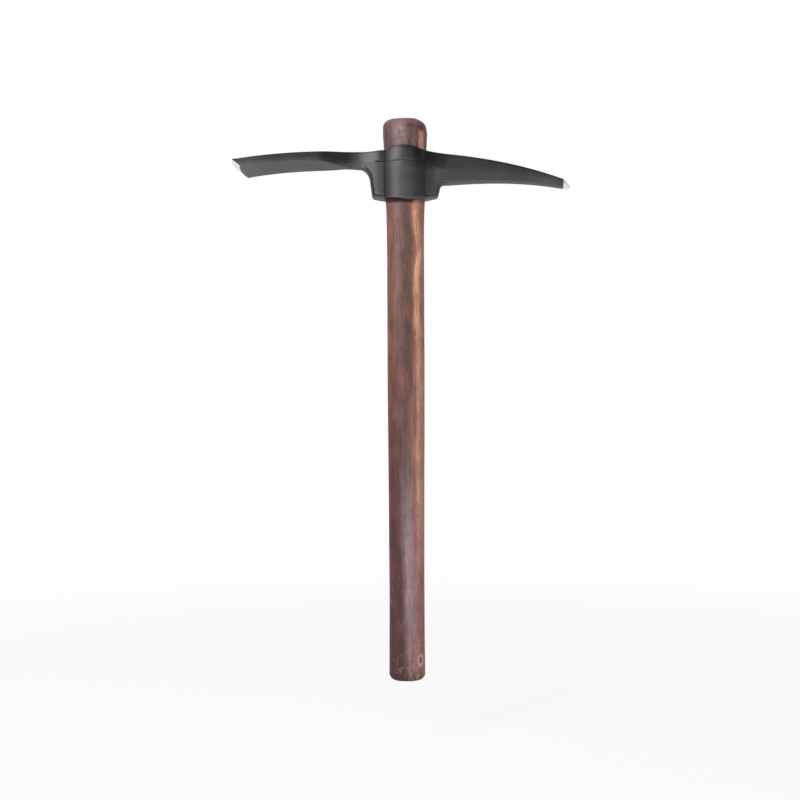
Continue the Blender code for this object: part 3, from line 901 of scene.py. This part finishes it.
        under = (s.valley, -s.ear_bottom - s.ear_slope)
        corner = (s.ear_draft + s.ear_corner - s.ear_reach_adze, s.ear_corner - s.ear_bottom)
        fillet = (-s.neck_reach, s.neck_top - s.neck_thickness - s.neck_fillet_drop)
        pair(arc(fillet, s.neck_fillet, 90, 0, self.fillet_steps, s.neck_fillet_drop),
             -s.neck_reach, -s.ear_reach_adze)
        points = line((-s.ear_reach_adze, fillet[1]), (corner[0] - s.ear_corner, corner[1]),
                      self.wall_steps)
        points += arc(corner, s.ear_corner, 180, 270, self.ear_corner_steps)
        points += line((corner[0], -s.ear_bottom), (-under[0], under[1]), self.ear_steps)
        pair(points, -s.ear_reach_adze, -s.valley)

        stations = spaced(-s.valley, s.valley, self.bulge_steps)
        pair([(x, self.collar_bottom(x)) for x in stations], -s.valley, s.valley)

        corner = (s.ear_reach_pick - s.ear_draft - s.ear_corner, s.ear_corner - s.ear_bottom)
        fillet = (s.pick_start, s.pick_top - s.pick_root_height - s.pick_fillet)
        points = line(under, (corner[0], -s.ear_bottom), self.ear_steps)
        points += arc(corner, s.ear_corner, 270, 360, self.ear_corner_steps)
        points += line((corner[0] + s.ear_corner, corner[1]), (s.ear_reach_pick, fillet[1]),
                       self.pick_wall_steps)
        pair(points, s.valley, s.ear_reach_pick)
        pair(arc(fillet, s.pick_fillet, 180, 90, self.pick_fillet_steps), s.ear_reach_pick, s.pick_start)

        stations = spaced(s.pick_start, s.ground, self.pick_steps)
        self.lower.extend((x, self.top(x) - self.pick_height(x)) for x in stations)
        self.upper.extend((x, self.top(x)) for x in stations)
        start, low = (s.ground, self.top(s.ground)), self.top(s.ground) - self.pick_height(s.ground)
        self.lower += line((s.ground, low), (s.point_reach, -s.point_drop), self.ground_steps)
        self.upper += line(start, (s.point_reach, -s.point_drop + s.point_land), self.ground_steps)
        self.lower.append((s.point_reach, -s.point_drop))
        self.upper.append((s.point_reach, -s.point_drop + s.point_land))

    @staticmethod
    def inward(points: Sequence[Point], i: int, side: int) -> Vector:
        """Return the unit normal of an outline at point i, towards the metal."""
        before, after = points[max(i - 1, 0)], points[min(i + 1, len(points) - 1)]
        along = Vector((after[0] - before[0], after[1] - before[1])).normalized()
        return Vector((-along.y, along.x)) * side

    def collar_share(self, x: float) -> float:
        """Return how much of the collar's chamfer there is at x: 1 on the collar, 0 on the arms."""
        past = max(-x - self.sizes.ear_reach_adze, x - self.sizes.pick_start)
        return 1 - ease(past / self.chamfer_fade)

    def bulge_share(self, x: float) -> float:
        """Return how much of the bulge there is at x: 1 on the bulge, 0 on the ears."""
        return ease((self.sizes.valley - abs(x)) / self.bulge_fade)

    def neck_share(self, x: float) -> float:
        """Return how far the lower corner at x is the neck's rounding, and no chamfer."""
        return 1 - ease(abs(x - self.neck_round_at) / self.neck_round_half)

    def chamfer(self, x: float, thickness: float) -> float:
        """Return the size of the lower corner at x."""
        size = self.chamfer_blade + (self.chamfer_collar - self.chamfer_blade) * self.collar_share(x)
        size += (self.neck_round - size) * self.neck_share(x)
        return min(size, self.round_share * thickness)

    def groove(self, x: float) -> float:
        """Return how deep the line along the chamfer is at x."""
        fade = 1 - ease((x - self.sizes.ear_reach_pick) / self.groove_fade)
        return self.collar_share(x) * (1 - self.bulge_share(x)) * self.groove_depth * fade

    def seam(self, x: float) -> float:
        """Return how far the parting seam stands out at x."""
        level = ease((x + self.sizes.ear_reach_adze) / self.seam_fade_adze)
        level *= ease((self.sizes.ear_reach_pick - x) / self.seam_fade_pick)
        return self.seam_height * level * (1 - self.seam_loss * self.bulge_share(x))

    def half_section(self, i: int) -> list[Vector]:
        """Return the points round the front half of the section at one pair of the outlines.

        Args:
            i: The pair's number, counted from the cutting edge.

        Returns:
            Points from the middle of the underside, up the front, to the middle of the top.
        """
        s = self.sizes
        low, high = Vector(self.lower[i]), Vector(self.upper[i])
        thickness = (high - low).length
        low_in, high_in = self.inward(self.lower, i, 1), self.inward(self.upper, i, -1)
        if low.x >= s.ground - WELD:
            low_in, high_in = Vector((0, 1)), Vector((0, -1))
        chamfer = self.ground_chamfer if i <= self.ground_steps else self.chamfer(low.x, thickness)
        rounder = self.neck_share(low.x)
        top_radius = min(self.top_round, self.round_share * thickness)
        low_edge, high_edge = low + low_in * chamfer, high + high_in * top_radius
        groove_half = min(self.groove_width / 2, self.groove_share * thickness)
        groove_middle = low_edge + low_in * groove_half
        groove_end = low_edge + low_in * 2 * groove_half

        middle_x = (low.x + high.x) / 2
        seam_at = self.parting(middle_x) + self.seam_shift
        share = (seam_at - low_edge.y) / (high_edge.y - low_edge.y)
        middle = low_edge.lerp(high_edge, min(max(share, self.seam_room), 1 - self.seam_room))
        up = (high_edge - low_edge).normalized()
        seam_half = min(self.seam_width, self.seam_share * thickness)
        seam_start, seam_end = middle - up * seam_half, middle + up * seam_half
        soft = self.pick_crown * ease((middle_x - s.pick_start) / self.crown_fade)
        points = []

        def depth(place: Vector) -> float:
            """Return the half width at a place of the side view, drafted both ways from the seam."""
            draft = s.draft_up if place.y > middle.y and place.x < s.ground + WELD else s.draft_down
            return self.half_width(place.x) - draft * (math.hypot(place.y - middle.y, soft) - soft)

        def add(place: Vector, y: float) -> None:
            """Add a point at a place of the side view, this far from the middle plane."""
            shift = self.bow(place.x, y, self.half_width(place.x))
            points.append(Vector((place.x + shift, -y, place.y + self.parting_height)))

        across = spaced(0.0, 1.0, self.flat_steps)
        for share in across:
            add(low, share * (depth(low) - chamfer))
        for k in range(self.corner_steps + 1):
            share = k / self.corner_steps
            turn = share * math.pi / 2
            inset = share + rounder * (1 - math.cos(turn) - share)
            loss = 1 - share + rounder * (share - math.sin(turn))
            place = low + low_in * chamfer * inset
            add(place, depth(place) - chamfer * loss)
        add(groove_middle, depth(groove_middle) - self.groove(low.x))
        for share in spaced(0.0, 1.0, self.side_steps):
            place = groove_end.lerp(seam_start, share)
            add(place, depth(place))
        add(seam_start, depth(seam_start))
        add(middle, depth(middle) + self.seam(middle_x))
        for share in spaced(0.0, 1.0, self.upper_steps):
            place = seam_end.lerp(high_edge, share)
            add(place, depth(place))
        for turn in (math.pi / 2, math.pi / 3, math.pi / 6, 0.0):
            place = high + high_in * top_radius * (1 - math.cos(turn))
            add(place, depth(place) - top_radius * (1 - math.sin(turn)))
        for share in reversed(across):
            add(high, share * (depth(high) - top_radius))
        return points

    def forged(self) -> bmesh.types.BMesh:
        """Warp a flat grid round the front half of the head, and mirror it."""
        self.draw_outlines()
        sections = [self.half_section(i) for i in range(len(self.lower))]
        columns, rows = len(sections) - 1, len(sections[0]) - 1
        shape = bmesh.new()
        bmesh.ops.create_grid(shape, x_segments=columns, y_segments=rows, size=0.5)
        for face in shape.faces:
            centre = face.calc_center_median()
            column, row = (centre.x + 0.5) * columns, (centre.y + 0.5) * rows
            under_edge = column < self.ground_steps and row < self.flat_steps + self.corner_steps
            face.material_index = int(under_edge or column > columns - self.ground_steps)
        for vert in shape.verts:
            column, row = round((vert.co.x + 0.5) * columns), round((vert.co.y + 0.5) * rows)
            vert.co = sections[column][row]
        bmesh.ops.mirror(shape, geom=shape.verts[:] + shape.edges[:] + shape.faces[:], axis="Y",
                         merge_dist=WELD)
        bmesh.ops.remove_doubles(shape, verts=shape.verts, dist=WELD)
        ends = [edge for edge in shape.edges if edge.is_boundary]
        caps = bmesh.ops.holes_fill(shape, edges=ends, sides=0)["faces"]
        for cap in caps:
            cap.material_index = 1
        bmesh.ops.triangulate(shape, faces=caps)
        bmesh.ops.recalc_face_normals(shape, faces=shape.faces)
        return shape

    def eye_cutter(self) -> bmesh.types.BMesh:
        """Make the tapered oval that leaves the fit gap round the handle's seat."""
        h, s = self.handle, self.sizes
        seat_low, seat_high = self.parting_height - s.lip_bottom, self.parting_height + s.rim_top
        slope = (h.seat_high_width - h.seat_low_width) / 2 / (seat_high - seat_low)
        over = s.ear_corner
        low = h.seat_low_width / 2 - slope * over + h.fit_gap
        high = h.seat_high_width / 2 + slope * over + h.fit_gap
        middle = (low + high) / 2
        ovality = (h.ovality * (middle - h.fit_gap) + h.fit_gap) / middle
        shape = bmesh.new()
        bmesh.ops.create_cone(shape, cap_ends=True, segments=self.eye_sides, radius1=low, radius2=high,
                              depth=seat_high - seat_low + 2 * over)
        bmesh.ops.scale(shape, verts=shape.verts, vec=(1, ovality, 1))
        bmesh.ops.translate(shape, verts=shape.verts, vec=(0, 0, (seat_low + seat_high) / 2))
        return shape

    def bored(self, solid: bmesh.types.BMesh) -> bmesh.types.BMesh:
        """Cut the eye through the solid head."""
        blank, tool = placed(solid, "blank"), placed(self.eye_cutter(), "eye_tool")
        cut = blank.modifiers.new("eye", "BOOLEAN")
        cut.operation = "DIFFERENCE"
        cut.solver = "MANIFOLD"
        cut.object = tool
        result = blank.evaluated_get(bpy.context.evaluated_depsgraph_get()).to_mesh()
        shape = bmesh.new()
        shape.from_mesh(result)
        for used in (blank, tool):
            bpy.data.objects.remove(used)
        bmesh.ops.remove_doubles(shape, verts=shape.verts, dist=WELD)
        return shape

    def mark_lip(self, shape: bmesh.types.BMesh) -> None:
        """Paint light on the lip's chamfer: a highlight under the ears, and shadow beside the wood under
        the bulge.
        """
        wear, painted_shade = shape.verts.layers.float["wear"], shape.verts.layers.float["painted_shade"]
        s = self.sizes
        lit_top = self.chamfer_collar * self.lip_highlight_share - s.ear_bottom
        for vert in shape.verts:
            x, height = vert.co.x, vert.co.z - self.parting_height
            if abs(x) > s.valley:
                # painted highlight, written into the wear layer
                rubbed = ease((lit_top - height) / self.lip_highlight_fade)
                vert[wear] = max(vert[wear], self.lip_highlight * rubbed)
            elif height <= -s.ear_bottom:
                along = (x + s.valley) / (2 * s.valley)
                strip = self.chamfer_collar * (1 - self.shadow_narrowing * along)
                # painted shadow where the lip's chamfer meets the wood
                shadowed = ease((self.collar_bottom(x) + strip - height) / self.shadow_fade)
                vert[painted_shade] = max(vert[painted_shade], shadowed * ease((self.shadow_end - x) / self.shadow_end_fade))

    def build(self) -> bpy.types.Object:
        """Build and dress the head."""
        shape = self.bored(self.forged())
        mark_edges(shape)
        self.mark_lip(shape)
        finishes = [PhosphateCoat().made(), GroundSteel().made()]
        return finished(shape, "forged_head", Body.HEAD, "mattock_head", finishes)


@dataclass
class WoodHandle:
    """The handle: turned, squeezed to an oval, and worn by use."""

    sizes: HandleSizes
    seat_low: float
    seat_high: float
    swell_at: float = 0.3               # of the neck's length, below the seat
    swell_share: float = 0.22           # of the neck's widening that is done there
    stray: float = 0.00012              # how far the surface strays, as hand work does
    stray_scales: Place = (45.0, 45.0, 22.0)
    seat_fade: float = 0.0040           # outside the seat, which doesn't stray
    butt_fade: float = 0.0060
    worn_loss: float = 0.0021           # of the knob's corner on the pick's side
    worn_sideways: float = 0.55         # the share of that loss in X, and the rest is in Z
    worn_from: float = 0.0070           # it starts this far from the axis
    worn_across: float = 0.0095         # and is full this much further out
    worn_below: float = 0.0140          # it starts this far below the top
    worn_up: float = 0.0120             # and is full this much further up
    sides: int = 128
    end_steps: int = 6                  # from the axis to the corner, on both ends
    round_steps: int = 10
    knob_steps: int = 14
    seat_steps: int = 12
    neck_steps: int = 20
    grip_steps: int = 160

    def half_width(self) -> Callable[[float], float]:
        """Return the half width as a function of the height above the butt."""
        s = self.sizes
        slope = (s.seat_high_width - s.seat_low_width) / (self.seat_high - self.seat_low)
        swelling = (s.seat_low_width - s.grip_width) * self.swell_share
        below = curve_through([
            (0.0, s.butt_width / 2),
            (s.waist_height, s.waist_width / 2),
            (s.grip_height, s.grip_width / 2),
            (self.seat_low - s.neck_length, s.grip_width / 2),
            (self.seat_low - s.neck_length * self.swell_at, s.grip_width / 2 + swelling),
            (self.seat_low, s.seat_low_width / 2),
        ])

        def value_at(z: float) -> float:
            """Return the half width at a height."""
            if z < self.seat_low:
                return below(z)
            if z < self.seat_high:
                return (s.seat_low_width + slope * (z - self.seat_low)) / 2
            swell = ease((z - self.seat_high) / s.knob_swell)
            return (s.seat_high_width + (s.knob_width - s.seat_high_width) * swell) / 2

        return value_at

    def profile(self) -> list[Point]:
        """Return the outline from the axis at the top to the axis at the butt."""
        s = self.sizes
        width = self.half_width()
        top, bottom = s.length - s.knob_round, s.butt_round
        shoulder, foot = (width(top) - s.knob_round, top), (width(bottom) - s.butt_round, bottom)
        points = line((0.0, s.length), (shoulder[0], s.length), self.end_steps)
        points += arc(shoulder, s.knob_round, 90, 0, self.round_steps)
        neck = self.seat_low - s.neck_length
        heights = spaced(top, self.seat_high, self.knob_steps)
        heights += spaced(self.seat_high, self.seat_low, self.seat_steps)
        heights += spaced(self.seat_low, neck, self.neck_steps)
        heights += spaced(neck, bottom, self.grip_steps)
        points += [(width(z), z) for z in heights]
        points += arc(foot, s.butt_round, 0, -90, self.round_steps)
        points += line((foot[0], 0.0), (0.0, 0.0), self.end_steps) + [(0.0, 0.0)]
        return points

    def wear(self, place: Vector) -> Vector:
        """Return where a point of the new handle has gone with work and use."""
        above = ease((place.z - self.seat_low + self.seat_fade) / self.seat_fade)
        seat = above * ease((self.seat_high - place.z + self.seat_fade) / self.seat_fade)
        stray = noise.noise(Vector([at * scale for at, scale in zip(place, self.stray_scales)]))
        stray *= self.stray * (1 - seat) * ease(place.z / self.butt_fade)
        moved = place + Vector((place.x, place.y, 0)).normalized() * stray
        corner = ease((place.x - self.worn_from) / self.worn_across)
        corner *= ease((place.z - self.sizes.length + self.worn_below) / self.worn_up)
        moved.x -= self.worn_loss * self.worn_sideways * corner
        moved.z -= self.worn_loss * (1 - self.worn_sideways) * corner
        return moved

    def build(self) -> bpy.types.Object:
        """Build and dress the handle."""
        shape = bmesh.new()
        verts = [shape.verts.new((x, 0.0, z)) for x, z in self.profile()]
        for first, second in zip(verts, verts[1:]):
            shape.edges.new((first, second))
        bmesh.ops.spin(shape, geom=shape.verts[:] + shape.edges[:], cent=(0, 0, 0), axis=(0, 0, 1),
                       angle=math.tau, steps=self.sides, use_merge=True)
        bmesh.ops.remove_doubles(shape, verts=shape.verts, dist=WELD)
        bmesh.ops.scale(shape, verts=shape.verts, vec=(1, self.sizes.ovality, 1))
        for vert in shape.verts:
            vert.co = self.wear(vert.co)
        bmesh.ops.recalc_face_normals(shape, faces=shape.faces)
        for face in shape.faces:
            face.smooth = True
        finish = StainedWood(length=self.sizes.length, seat_low=self.seat_low, seat_high=self.seat_high)
        return finished(shape, "oval_handle", Body.HANDLE, "handle", [finish.made()])


# The studio

@dataclass(frozen=True)
class Lamp:
    """One soft lamp, which looks at a place."""

    name: str
    at: Place
    towards: Place
    width: float
    height: float
    power: float

    def light(self) -> None:
        """Hang the lamp."""
        data = bpy.data.lights.new(self.name, "AREA")
        data.shape = "RECTANGLE"
        data.size, data.size_y = self.width, self.height
        data.energy = self.power
        lamp = bpy.data.objects.new(self.name, data)
        lamp.location = self.at
        aim = Vector(self.towards) - Vector(self.at)
        lamp.rotation_euler = aim.to_track_quat("-Z", "Y").to_euler()
        bpy.context.scene.collection.objects.link(lamp)


@dataclass(frozen=True)
class Studio:
    """A white floor, soft lamps and the photograph's camera."""

    camera_at: Place = (-0.0054, -1.15, 0.2437)
    camera_roll_deg: float = -0.24
    focal_px: float = 1320.0
    sensor: float = 36.0
    plain_front: float = 0.22           # the world's light on the object, from the camera's side
    plain_back: float = 0.75            # and from behind it
    plain_fade: Band = (-0.20, 0.60)    # from the one to the other, in the direction's Y
    room_level: float = 0.04            # what gloss shows of the dark room behind the camera
    room_fade: Band = (-0.35, 0.25)     # from there to the white background
    floor_height: float = -0.0550       # low enough for the head to slide off the butt above it
    floor_reach: float = 12.0
    floor_paint: Colour = (0.85, 0.85, 0.85)
    floor_share: float = 0.88           # how much of the floor's white hides its shadows
    white_from: Band = (0.5, 1.4)       # the floor turns fully white between these distances
    lamps: tuple[Lamp, ...] = (
        Lamp("key", (-1.024, -1.229, 1.067), (0.0, 0.0, 0.35), 0.33, 0.87, 23.3),
        Lamp("fill", (0.156, -1.592, 0.338), (0.0, 0.0, 0.35), 0.98, 1.00, 4.45),
    )

    @staticmethod
    def seen(bench: Bench) -> tuple[Wire, Wire]:
        """Return the rays that show the background: the camera's, and those of gloss and glass."""
        path = bench.node("ShaderNodeLightPath")
        camera, glossy, through = (
            Wire(bench, path.outputs[f"Is {kind} Ray"]) for kind in ("Camera", "Glossy", "Transmission"))
        return camera, glossy + through

    def light_world(self) -> None:
        """Make the world white to look at, and of a plain level as light."""
        world = bpy.data.worlds.new("studio")
        bpy.context.scene.world = world
        world.use_nodes = True
        bench = Bench(world.node_tree)
        camera, gloss = self.seen(bench)
        _, back, _ = bench.split(bench.node("ShaderNodeTexCoord").outputs["Generated"])
        mirrored = self.room_level + (1 - self.room_level) * back.rise(*self.room_fade)
        level = self.plain_front + (self.plain_back - self.plain_front) * back.rise(*self.plain_fade)
        plain, white = (bench.node("ShaderNodeBackground", {}, {"Color": WHITE, "Strength": strength})
                        for strength in (level, camera + gloss * mirrored))
        bench.node("ShaderNodeOutputWorld", {}, {"Surface": bench.either(camera + gloss, plain, white)})

    def lay_floor(self) -> None:
        """Lay the white floor under the butt and under the head's lowest place."""
        shape = bmesh.new()
        bmesh.ops.create_grid(shape, x_segments=4, y_segments=4, size=self.floor_reach)
        bmesh.ops.translate(shape, verts=shape.verts, vec=(0, 0, self.floor_height))
        floor = placed(shape, "floor")
        paint = bpy.data.materials.new("white_floor")
        paint.use_nodes = True
        bench = Bench(paint.node_tree)
        camera, gloss = self.seen(bench)
        along, back, _ = bench.split(bench.place())
        distance = (along ** 2 + back ** 2) ** 0.5
        share = self.floor_share + distance.rise(*self.white_from) * (1 - self.floor_share)
        matt = bench.node("ShaderNodeBsdfDiffuse", {}, {"Color": self.floor_paint})
        white = bench.node("ShaderNodeEmission", {}, {"Color": WHITE, "Strength": 1.0})
        lit = bench.either((camera + gloss) * share, matt, white)
        bench.node("ShaderNodeOutputMaterial", {}, {"Surface": lit})
        floor.data.materials.append(paint)

    def set_camera(self) -> None:
        """Set the camera where the photographer stood."""
        data = bpy.data.cameras.new("camera")
        data.sensor_width = self.sensor
        data.lens = self.focal_px * self.sensor / PHOTO_SIDE
        camera = bpy.data.objects.new("camera", data)
        level = Matrix.Rotation(math.radians(90), 4, "X")
        roll = Matrix.Rotation(math.radians(self.camera_roll_deg), 4, "Z")
        camera.matrix_world = Matrix.Translation(self.camera_at) @ level @ roll
        bpy.context.scene.collection.objects.link(camera)
        bpy.context.scene.camera = camera

    def build(self) -> None:
        """Set up the whole studio."""
        bpy.context.scene.view_settings.view_transform = "Standard"
        self.light_world()
        self.lay_floor()
        self.set_camera()
        for lamp in self.lamps:
            lamp.light()


def main() -> None:
    """Build the pieces and the studio."""
    logging.basicConfig(level=logging.INFO, format="%(name)s: %(message)s")
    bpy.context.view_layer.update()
    handle_sizes = HandleSizes()
    head = MattockHead(HeadSizes(), handle_sizes)
    head.build()
    seat_low = head.parting_height - head.sizes.lip_bottom
    seat_high = head.parting_height + head.sizes.rim_top
    WoodHandle(handle_sizes, seat_low, seat_high).build()
    Studio().build()


if __name__ == "__main__":
    main()
